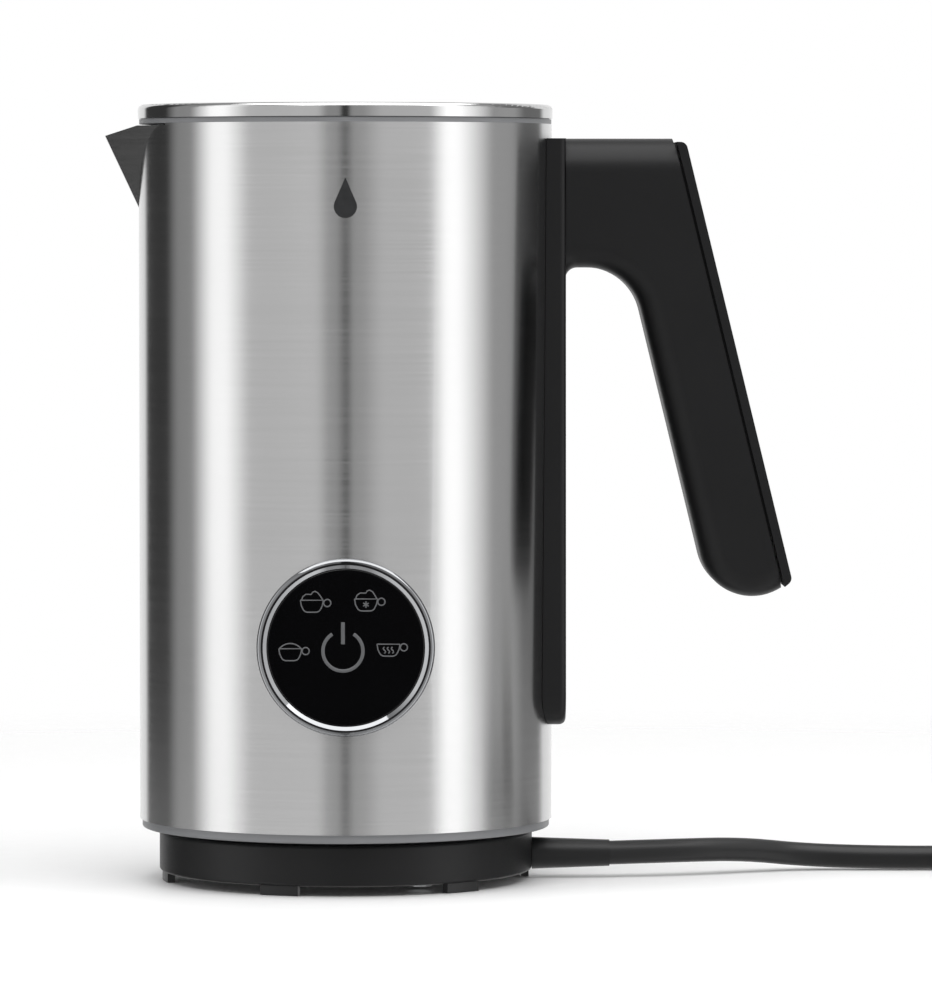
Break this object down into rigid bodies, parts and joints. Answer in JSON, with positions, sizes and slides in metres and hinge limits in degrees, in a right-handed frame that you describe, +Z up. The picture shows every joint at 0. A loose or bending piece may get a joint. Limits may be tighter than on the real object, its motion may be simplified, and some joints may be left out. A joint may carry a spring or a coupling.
{
  "type": "milk frother",
  "caption": "Cordless electric milk frother: steel jug with V spout, flat clear lid, round touch panel and open-ended handle, magnetic whisk inside, on a round mains base.",
  "frame": {"origin": "where the jug's axis meets the surface that the base stands on, in the plane of the feet's undersides", "axes": "+Z up along the jug's axis; +X towards the handle and the cord; -X towards the spout; -Y towards the touch panel"},
  "size_m": [0.3398, 0.1132, 0.199],
  "materials": {
    "brushed_steel": "fine brushed stainless steel, brushed round the body",
    "polished_steel": "polished stainless steel",
    "clear_plastic": "clear moulded plastic",
    "grey_plastic": "satin grey plastic",
    "black_plastic": "matte black plastic with a fine grain",
    "black_glass": "gloss black touch glass",
    "silicone": "translucent grey silicone",
    "black_rubber": "matte black rubber",
    "plug_plastic": "matte black moulded plastic",
    "contact_brass": "plain brass",
    "plated_pins": "nickel-plated brass",
    "screw_steel": "zinc-plated steel",
    "motor_paint": "galvanised motor can",
    "heater_aluminium": "cast aluminium",
    "heater_steel": "heat-tinted steel",
    "magnet_nickel": "nickel-plated magnets",
    "board_green": "green circuit board",
    "component_plastic": "moulded components",
    "hub_plastic": "black plastic"
  },
  "bodies": {
    "base": {"base_cover": "black_plastic", "base_bottom_plate": "black_plastic", "base_feet": "black_rubber", "centre_pad": "black_rubber", "base_screws": "screw_steel", "base_connector": "black_plastic", "base_contacts": "contact_brass", "strain_relief": "black_rubber", "base_leads": "black_rubber", "mains_cord": "black_rubber", "cord_coil": "black_rubber", "cord_tie": "plug_plastic", "plug_body": "plug_plastic", "plug_pins": "plated_pins", "plug_earth_clips": "plated_pins"},
    "jug": {"outer_shell": "brushed_steel", "inner_cup": "brushed_steel", "whisk_pin": "polished_steel", "bottom_ring": "grey_plastic", "jug_base_cover": "black_plastic", "cover_screws": "screw_steel", "jug_connector": "black_plastic", "connector_contacts": "contact_brass", "supply_leads": "black_rubber", "power_board": "board_green", "board_components": "component_plastic", "board_screws": "screw_steel", "motor_can": "motor_paint", "motor_screws": "screw_steel", "motor_bracket": "screw_steel", "bracket_spacers": "screw_steel", "bracket_screws": "screw_steel", "heater_plate": "heater_aluminium", "heater_element": "heater_steel", "temperature_sensor": "heater_steel", "thermal_cutout": "heater_steel", "panel_bezel": "polished_steel", "panel_glass": "black_glass", "panel_housing": "black_plastic", "panel_clamp": "screw_steel", "display_board": "board_green", "display_leds": "component_plastic", "back_strip": "black_plastic", "strip_screw": "screw_steel", "handle_bracket": "screw_steel", "handle_body": "black_plastic", "handle_cover": "black_plastic", "handle_screws": "screw_steel"},
    "lid": {"lid_rim": "polished_steel", "lid_carrier": "grey_plastic", "lid_window": "clear_plastic", "lid_seal": "silicone"},
    "rotor": {"motor_shaft": "screw_steel", "magnet_carrier": "hub_plastic", "drive_magnets": "magnet_nickel"},
    "whisk": {"whisk_hub": "hub_plastic", "whisk_frame": "polished_steel", "whisk_coil": "polished_steel", "whisk_magnets": "magnet_nickel"}
  },
  "joints": [
    {"name": "jug_lift", "type": "slide", "parent": "base", "child": "jug", "axis": [0, 0, 1], "range_m": [0, 0.06]},
    {"name": "lid_lift", "type": "slide", "parent": "jug", "child": "lid", "axis": [0, 0, 1], "range_m": [0, 0.04]},
    {"name": "rotor_spin", "type": "hinge", "parent": "jug", "child": "rotor", "pos_m": [0, 0, 0.084], "axis": [0, 0, 1], "continuous": true},
    {"name": "whisk_spin", "type": "hinge", "parent": "jug", "child": "whisk", "pos_m": [0, 0, 0.096], "axis": [0, 0, 1], "continuous": true}
  ],
  "couplings": [
    {"joint": "whisk_spin", "follows": "rotor_spin", "ratio": 1}
  ]
}
